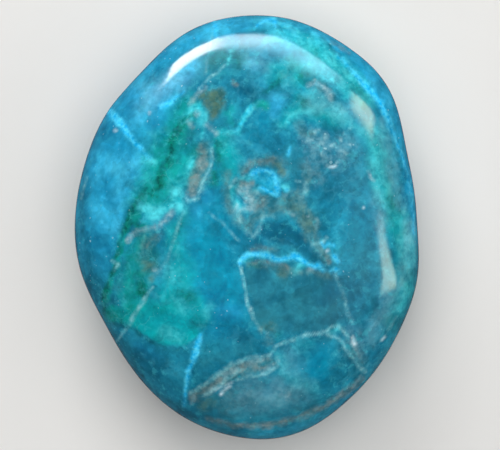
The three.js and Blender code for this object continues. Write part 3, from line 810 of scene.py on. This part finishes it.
def stray(points, size):
    """A stray of about one for each point, nearly the same for points closer than size."""
    strays = [noise.turbulence_vector(Vector(p / size), STRAY_OCTAVES, False) for p in points]
    return np.array(strays)


def lined_up(points):
    """Where each point's markings are read: as it lines up with the level of the girdle."""
    aim = np.array(CAMERA_AIM[:2]) / MM
    rise = points[:, 2] - GIRDLE_LEVEL / MM
    nearer = 1 - rise.clip(0) / (VIEWING_HEIGHT / MM)
    x, y = (aim + (points[:, :2] - aim) / nearer[:, None]).T
    depth = (-rise).clip(0)
    turn = LEAN_TURN * depth
    return np.stack(
        [
            x * np.cos(turn) - y * np.sin(turn) + LEAN_SHIFT[0] * depth,
            x * np.sin(turn) + y * np.cos(turn) + LEAN_SHIFT[1] * depth,
        ],
        axis=1,
    )


def brushed(places, strength, feather, stroke):
    """How far one brush stroke covers each place, from 0 to its strength."""
    points = np.array(stroke, float)
    reach = points[:, 2].max() + feather
    low, high = points[:, :2].min(0) - reach, points[:, :2].max(0) + reach
    near = np.flatnonzero(((places > low) & (places < high)).all(1))
    margin = np.full(len(near), -feather)
    ends = points[1:] if len(points) > 1 else points
    for start, end in zip(points, ends):
        span = end[:2] - start[:2]
        offset = places[near] - start[:2]
        along = np.clip(offset @ span / max(span @ span, LEAST_SPAN), 0, 1)
        gap = np.hypot(*(offset - along[:, None] * span).T)
        margin = np.maximum(margin, start[2] + along * (end[2] - start[2]) - gap)
    edge = np.clip((margin + feather) / (2 * feather), 0, 1)
    cover = np.zeros(len(places))
    cover[near] = strength * edge * edge * (3 - 2 * edge)
    return cover


def mark_minerals(mesh):
    """Gives each point of the skin its cover of each mineral."""
    points = points_of(mesh) / MM
    noise.seed_set(STRAY_SEED)
    broad, small = stray(points, BROAD_STRAY), stray(points, SMALL_STRAY)
    strays = BROAD_SHARE * broad + (1 - BROAD_SHARE) * small
    for name, mineral in MINERALS.items():
        if not mineral.marks:
            continue
        places = lined_up(points + mineral.wander * strays)
        cover = np.zeros(len(points))
        for strength, feather, *strokes in mineral.marks:
            for stroke in strokes:
                cover = np.maximum(cover, brushed(places, strength, feather, stroke))
        store(mesh, name, cover)


# ---------------------------------------------------------------------------
# Material
# ---------------------------------------------------------------------------
# How clear of mottles and threads each of these keeps the stone, next to the clear blue; the glint
# entry is the painted highlights.
CLEAR_MINERALS = {
    "slate": 1.0, "azure": 0.8, "cyan": 1.0, "turquoise": 0.7, "teal": 0.5, "green": 0.4,
    "rind": 0.6, "painted_glint": 1.0, "olive": 0.6, "tan": 0.4,
}
CLEAREST = 0.8  # share of the mottles and threads that the clearest mineral keeps away
SHARD_WIDTH = 3.2 * MM
DARKEST_SHARD = 0.87  # how light it is, next to the stone's own colour
SHARD_SPREAD = 0.26  # how much lighter than that the palest shard is
SEAM_WIDTH = 0.045  # as a share of a shard
SEAM_STRENGTH = 0.2
GRAIN_WIDTH = 0.85 * MM
LEAST_GRAIN = 0.12  # half width where the stone isn't ashy, as a share of a grain's room
ASHY_GRAIN = 0.34  # how much wider that is in the ashy patches
AZURE_GRAINS = 0.2  # how ashy the azure counts as
SOFT_DULLNESS = 0.14  # roughness that the softest minerals add
STONE_IOR = 1.46


def clouding(tree, place):
    """Three sizes of clouding, each from 0 to 1, the broader ones with the finer ones in them."""
    broad = noise_of(tree, place, 4.5 * MM, swirl=0.4)
    middling = noise_of(tree, place, 1.7 * MM, seed=3.7, swirl=0.8)
    fine = noise_of(tree, place, 0.6 * MM, seed=7.4)
    small = math_of(tree, "MULTIPLY_ADD", minus(tree, fine, middling), 0.3, middling)
    large = math_of(tree, "MULTIPLY_ADD", minus(tree, small, broad), 0.42, broad)
    return {
        BROAD: mapped(tree, large, 0.33, 0.67),
        MIDDLING: mapped(tree, small, 0.36, 0.64),
        FINE: mapped(tree, fine, 0.32, 0.68),
    }


def cover_of(tree, name, mineral, ragged, gap):
    """A mineral's cover, with its edge torn by noise and some gaps in it."""
    cover = add_node(tree, "ShaderNodeAttribute", attribute_name=name).outputs["Fac"]
    edge = times(tree, cover, minus(tree, 1.0, cover))
    torn = times(tree, edge, times(tree, ragged, mineral.tear))
    cover = math_of(tree, "ADD", cover, torn, clamp=True)
    kept = math_of(tree, "MULTIPLY_ADD", gap, -mineral.gaps, 1.0)
    return times(tree, cover, kept)


def layered(tree, clouds, place):
    """The minerals' colours, each laid over those before it, and their covers."""
    tear = noise_of(tree, place, 0.7 * MM, detail=3.0, roughness=0.6, seed=11.0)
    ragged = minus(tree, tear, 0.5)
    gap = mapped(tree, noise_of(tree, place, 1.3 * MM, seed=17.0), 0.46, 0.62)
    colour = None
    covers = {}
    for name, mineral in MINERALS.items():
        own = blended(tree, clouds[mineral.clouds], mineral.dark, mineral.light)
        if colour is None:
            colour = own
            continue
        covers[name] = cover_of(tree, name, mineral, ragged, gap)
        colour = blended(tree, covers[name], colour, own)
    return colour, covers


def busyness(tree, covers):
    """How busy the stone's pattern is, from 1 down to little where the blue is clear."""
    clear = covers["lagoon"]
    for name, share in CLEAR_MINERALS.items():
        clear = math_of(tree, "MAXIMUM", clear, times(tree, covers[name], share))
    return math_of(tree, "MULTIPLY_ADD", clear, -CLEAREST, 1.0)


def mottled(tree, place, colour, busy):
    """Small pale and dark mottles."""
    mottle = noise_of(tree, place, 1.2 * MM, detail=4.0, roughness=0.62, seed=61.0, swirl=0.3)
    pale = mapped(tree, mottle, 0.53, 0.68, 0.0, 0.34)
    dark = mapped(tree, mottle, 0.32, 0.47, 0.42, 0.0)
    colour = blended(tree, times(tree, pale, busy), colour, paint(66, 196, 210))
    return blended(tree, times(tree, dark, busy), colour, paint(6, 92, 112))


def threads(tree, place, size, width, seed):
    """Fine broken threads, from 0 to 1, that wind through the stone."""
    winding = noise_of(tree, place, size, detail=3.0, seed=seed, swirl=0.3)
    aside = math_of(tree, "ABSOLUTE", minus(tree, winding, 0.5))
    line = mapped(tree, aside, 0.0, width, 1.0, 0.0)
    breaks = noise_of(tree, place, 2 * size, seed=seed + 5)
    return times(tree, line, mapped(tree, breaks, 0.48, 0.62))


def threaded(tree, place, colour, busy):
    """Dark and pale threads, fewer of them where the blue is clear."""
    for size, width, seed, most, shade in (
        (3.8 * MM, 0.04, 21.0, 0.4, paint(4, 96, 114)),
        (3.0 * MM, 0.06, 31.0, 0.15, paint(80, 186, 204)),
    ):
        share = times(tree, threads(tree, place, size, width, seed), most)
        colour = blended(tree, times(tree, share, busy), colour, shade)
    return colour


def shards(tree, place, colour, covers):
    """A mosaic of shards that differ a little in tone, with pale seams in the green minerals."""
    uneven = jolted(tree, place, 1.6 * MM, 2.4 * MM, detail=4.0)
    tone = cells_of(tree, uneven, SHARD_WIDTH)["Color"]
    tone = math_of(tree, "MULTIPLY_ADD", tone, SHARD_SPREAD, DARKEST_SHARD)
    colour = scaled(tree, colour, tone)
    to_edge = cells_of(tree, uneven, SHARD_WIDTH, "DISTANCE_TO_EDGE")["Distance"]
    seam = mapped(tree, to_edge, 0.0, SEAM_WIDTH, 1.0, 0.0)
    greens = math_of(tree, "MAXIMUM", covers["teal"], covers["green"])
    breaks = noise_of(tree, place, 2.2 * MM, seed=51.0)
    broken = mapped(tree, breaks, 0.45, 0.6, 0.0, SEAM_STRENGTH)
    share = times(tree, times(tree, seam, broken), greens)
    return blended(tree, share, colour, paint(84, 190, 196))


def wisped(tree, place, colour):
    """Lightens and darkens the colour in smoky wisps."""
    wisp = noise_of(tree, place, 2.6 * MM, detail=3.0, seed=41.0, swirl=0.8)
    return scaled(tree, colour, mapped(tree, wisp, 0.32, 0.68, 0.85, 1.15))


def grained(tree, place, colour, cover):
    """Pale quartz grains, crowded in the ashy patches and thinly scattered elsewhere."""
    grains = cells_of(tree, jolted(tree, place, 0.5 * MM, 0.5 * MM), GRAIN_WIDTH)
    pick = add_node(tree, "ShaderNodeSeparateColor", {0: grains["Color"]})
    chance, brightness, _ = pick.outputs
    size = math_of(tree, "MULTIPLY_ADD", cover, ASHY_GRAIN, LEAST_GRAIN)
    size = times(tree, size, mapped(tree, chance, 0.5, 1.0))
    share = mapped(tree, minus(tree, size, grains["Distance"]), -0.04, 0.08)
    strength = mapped(tree, brightness, 0.0, 1.0, 0.15, 0.75)
    return blended(tree, times(tree, share, strength), colour, paint(150, 200, 210))


def polish(tree, place, soft):
    """Glossy, with faint smears, and duller where soft minerals take less polish."""
    smear = noise_of(tree, place, 6 * MM, detail=3.0, seed=5.0)
    base = mapped(tree, smear, 0.3, 0.7, 0.07, 0.12)
    return math_of(tree, "MULTIPLY_ADD", soft, SOFT_DULLNESS, base)


def fine_relief(tree, place, soft, grain):
    """A faint orange peel all over, and a grain where soft minerals pluck out."""
    peel = noise_of(tree, place, 1.1 * MM, seed=8.0)
    height = math_of(tree, "MULTIPLY_ADD", times(tree, soft, grain), -1.5, peel)
    inputs = {"Strength": 0.35, "Distance": 0.012 * MM, "Height": height}
    return add_node(tree, "ShaderNodeBump", inputs).outputs["Normal"]


def stone_material():
    material = bpy.data.materials.new("polished_chrysocolla")
    material.use_nodes = True
    tree = material.node_tree
    tree.nodes.clear()
    place = add_node(tree, "ShaderNodeTexCoord").outputs["Object"]
    clouds = clouding(tree, place)
    colour, covers = layered(tree, clouds, place)
    busy = busyness(tree, covers)
    colour = mottled(tree, place, colour, busy)
    colour = threaded(tree, place, colour, busy)
    colour = shards(tree, place, colour, covers)
    colour = wisped(tree, place, colour)
    specked = times(tree, covers["azure"], AZURE_GRAINS)
    colour = grained(tree, place, colour, math_of(tree, "MAXIMUM", covers["ash"], specked))
    soft = math_of(tree, "MAXIMUM", covers["tan"], covers["blush"])
    inputs = {
        "Base Color": colour,
        "Roughness": polish(tree, place, soft),
        "Normal": fine_relief(tree, place, soft, clouds[FINE]),
        "IOR": STONE_IOR,
    }
    shader = add_node(tree, "ShaderNodeBsdfPrincipled", inputs)
    add_node(tree, "ShaderNodeOutputMaterial", {"Surface": shader.outputs[0]})
    return material


# ---------------------------------------------------------------------------
# The finished stone
# ---------------------------------------------------------------------------
def fit_to_frame(mesh):
    """Sets the skin's box exactly on the CAD stone's."""
    points = points_of(mesh)
    low, high = points.min(0), points.max(0)
    share = (points - low) / (high - low)
    set_points(mesh, np.array(STONE_LOW) + share * np.array(STONE_HIGH - STONE_LOW))


def make_stone():
    material = stone_material()
    shape_sizes = {
        "Height": STONE_HEIGHT,
        "Half Width": OVAL_HALF_WIDTH,
        "Half Length": OVAL_HALF_LENGTH,
    }
    surface_sizes = {
        "Swell": 0.05 * MM,
        "Ripple": 0.012 * MM,
        "Soft Mineral Depth": 0.05 * MM,
        "Vein Height": 0.02 * MM,
        "Seed": 4.0,
    }
    skin = run_tree(turned_blank(), draw_out_tree(shape_sizes), shape_sizes, material)
    fit_to_frame(skin)
    mark_minerals(skin)
    skin = run_tree(skin, surface_tree(surface_sizes), surface_sizes, material)
    fit_to_frame(skin)
    skin.name = "palm_stone"
    stone = add_object("palm_stone", skin)
    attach(stone, "root")
    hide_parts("stone")


# ---------------------------------------------------------------------------
# Floor, light and camera
# ---------------------------------------------------------------------------
FLOOR_RADIUS = 1.1
FLOOR_FLAT_SHARE = 0.6  # of its radius, inside the swept-up edge
FLOOR_CORNERS = 96
FLOOR_COLOUR = (0.74, 0.73, 0.71, 1.0)
SWEEP_STEPS = 12
SWEEP_HEIGHT = 0.5
LIGHT_DISTANCE = 0.6
EVEN_FADE = (0.4, 0.4, 0.4, 0.4)
ROOM_COLOUR = (0.95, 0.97, 1.0, 1.0)
ROOM_LIGHT = 0.1
NEAREST_SEEN = 0.01


def floor_profile():
    """The radius and height of each ring of the floor, from its middle to its swept-up edge."""
    profile = [(FLOOR_RADIUS * FLOOR_FLAT_SHARE, 0.0)]
    for step in range(1, SWEEP_STEPS + 1):
        turn = math.pi / 2 * step / SWEEP_STEPS
        reach = FLOOR_FLAT_SHARE + (1 - FLOOR_FLAT_SHARE) * math.sin(turn)
        profile.append((FLOOR_RADIUS * reach, SWEEP_HEIGHT * (1 - math.cos(turn))))
    return profile


def make_floor():
    """A round floor whose far edge sweeps up into a backdrop."""
    profile = floor_profile()
    points = [(0.0, 0.0, 0.0)]
    for radius, height in profile:
        for step in range(FLOOR_CORNERS):
            turn = 2 * math.pi * step / FLOOR_CORNERS
            points.append((radius * math.cos(turn), radius * math.sin(turn), height))
    steps = [(step, (step + 1) % FLOOR_CORNERS) for step in range(FLOOR_CORNERS)]
    faces = [(0, 1 + here, 1 + following) for here, following in steps]
    for ring in range(len(profile) - 1):
        low = 1 + ring * FLOOR_CORNERS
        high = low + FLOOR_CORNERS
        faces += [(low + a, high + a, high + b, low + b) for a, b in steps]
    mesh = bpy.data.meshes.new("floor")
    mesh.from_pydata(points, [], faces)
    mesh.shade_smooth()
    mesh.materials.append(floor_material())
    floor = add_object("floor", mesh)
    floor.visible_glossy = False


def floor_material():
    material = bpy.data.materials.new("pale_floor")
    material.use_nodes = True
    shader = material.node_tree.nodes["Principled BSDF"]
    shader.inputs["Base Color"].default_value = FLOOR_COLOUR
    shader.inputs["Roughness"].default_value = 0.9
    shader.inputs["Specular IOR Level"].default_value = 0.1
    return material


def soft_box(
    name, azimuth, elevation, size, radiance,
    colour=(1, 1, 1), fade=None, roll=0, only=None, slants=(0, 0),
):
    """A rectangular light that faces the stone. Azimuth is anticlockwise from +X.

    Fade is the share of the light that fades out at its left, right, lower and upper edge, as
    the stone sees it. Roll turns it anticlockwise in its own plane. Only "shine" or only "fill"
    makes it show in the polish alone, or light the colours alone. Slants are how far the lower
    edge rises towards the left, as a share of the height, and how far the right edge comes in
    towards the top, as a share of the width.
    """
    light = bpy.data.lights.new(name, "AREA")
    light.shape = "RECTANGLE"
    light.size, light.size_y = size
    light.energy = radiance * math.pi * size[0] * size[1]
    light.color = colour
    if fade:
        fade_edges(light, fade, slants)
    turn, rise = math.radians(azimuth), math.radians(elevation)
    way = Vector((math.cos(turn) * math.cos(rise), math.sin(turn) * math.cos(rise), math.sin(rise)))
    lamp = add_object(name, light)
    lamp.location = Vector((0, 0, STONE_HEIGHT / 2)) + way * LIGHT_DISTANCE
    lamp.rotation_mode = "QUATERNION"
    rolled = Quaternion((0, 0, 1), math.radians(-roll))
    lamp.rotation_quaternion = way.to_track_quat("Z", "Y") @ rolled
    lamp.visible_camera = False
    lamp.visible_diffuse = only != "shine"
    lamp.visible_glossy = only != "fill"


def fade_edges(light, fade, slants):
    """Makes a light's strength fall smoothly to nothing at its four edges."""
    light.use_nodes = True
    tree = light.node_tree
    parametric = add_node(tree, "ShaderNodeNewGeometry").outputs["Parametric"]
    x, y = add_node(tree, "ShaderNodeSeparateXYZ", {0: parametric}).outputs[:2]
    far_x, far_y = (minus(tree, 1.0, place) for place in (x, y))
    from_lower = math_of(tree, "MULTIPLY_ADD", x, -slants[0], y)
    from_right = math_of(tree, "MULTIPLY_ADD", y, -slants[1], x)
    strength = 1.0
    for from_edge, share in zip((far_x, from_right, from_lower, far_y), fade):
        strength = times(tree, mapped(tree, from_edge, 0.0, share), strength)
    emission = next(node for node in tree.nodes if node.type == "EMISSION")
    feed(tree, emission.inputs["Strength"], strength)


def light_the_polish():
    """What shines in the polish: a window with its curtain, a lamp shade and two pale walls."""
    soft_box(
        "window", 116.3, 12.6, (0.35, 0.17), 22.5,
        fade=(0.06, 0.45, 0.1, 0.25), roll=13, only="shine",
    )
    soft_box(
        "window_side", 98, 18, (0.42, 0.24), 9.5, (0.85, 0.95, 1.0),
        fade=(0.45, 0.45, 0.2, 0.45), roll=28, only="shine",
    )
    soft_box(
        "curtain", 79.3, 27.6, (0.58, 0.26), 12.0, (0.44, 0.84, 1.0),
        fade=(0.41, 0.26, 0.15, 0.65), roll=32, only="shine",
    )
    soft_box("window_glow", 112, 20, (0.9, 0.5), 1.2, fade=EVEN_FADE, roll=14, only="shine")
    soft_box(
        "lamp_shade", 32, 33.4, (0.27, 0.16), 10.2, (0.92, 0.95, 0.62),
        fade=(0.25, 0.3, 0.12, 0.45), roll=-28, only="shine",
    )
    soft_box(
        "wall", -9.9, 21.5, (0.4, 0.235), 7.6, (0.88, 1.0, 0.74),
        fade=(0.27, 0.12, 0.2, 0.12), roll=-34, only="shine", slants=(0.7, 0.25),
    )
    soft_box("far_wall", -5, 48, (0.9, 0.5), 0.45, fade=EVEN_FADE, only="shine")


def light_the_colours():
    soft_box("window_fill", 105, 30, (0.4, 0.3), 5.8, only="fill")
    soft_box("wall_fill", -5, 28, (0.4, 0.3), 1.4, only="fill")
    soft_box("overhead", 60, 82, (0.8, 0.8), 1.8, only="fill")
    world = bpy.data.worlds.new("room")
    world.use_nodes = True
    background = world.node_tree.nodes["Background"]
    background.inputs["Color"].default_value = ROOM_COLOUR
    background.inputs["Strength"].default_value = ROOM_LIGHT
    bpy.context.scene.world = world


def make_camera():
    data = bpy.data.cameras.new("camera")
    data.lens = LENS
    data.sensor_width = SENSOR
    data.clip_start = NEAREST_SEEN
    camera = add_object("camera", data)
    camera.location = CAMERA_AIM + Vector((0, 0, VIEWING_HEIGHT))
    bpy.context.scene.camera = camera


make_stone()
make_floor()
light_the_polish()
light_the_colours()
make_camera()
bpy.context.scene.view_settings.view_transform = "Standard"
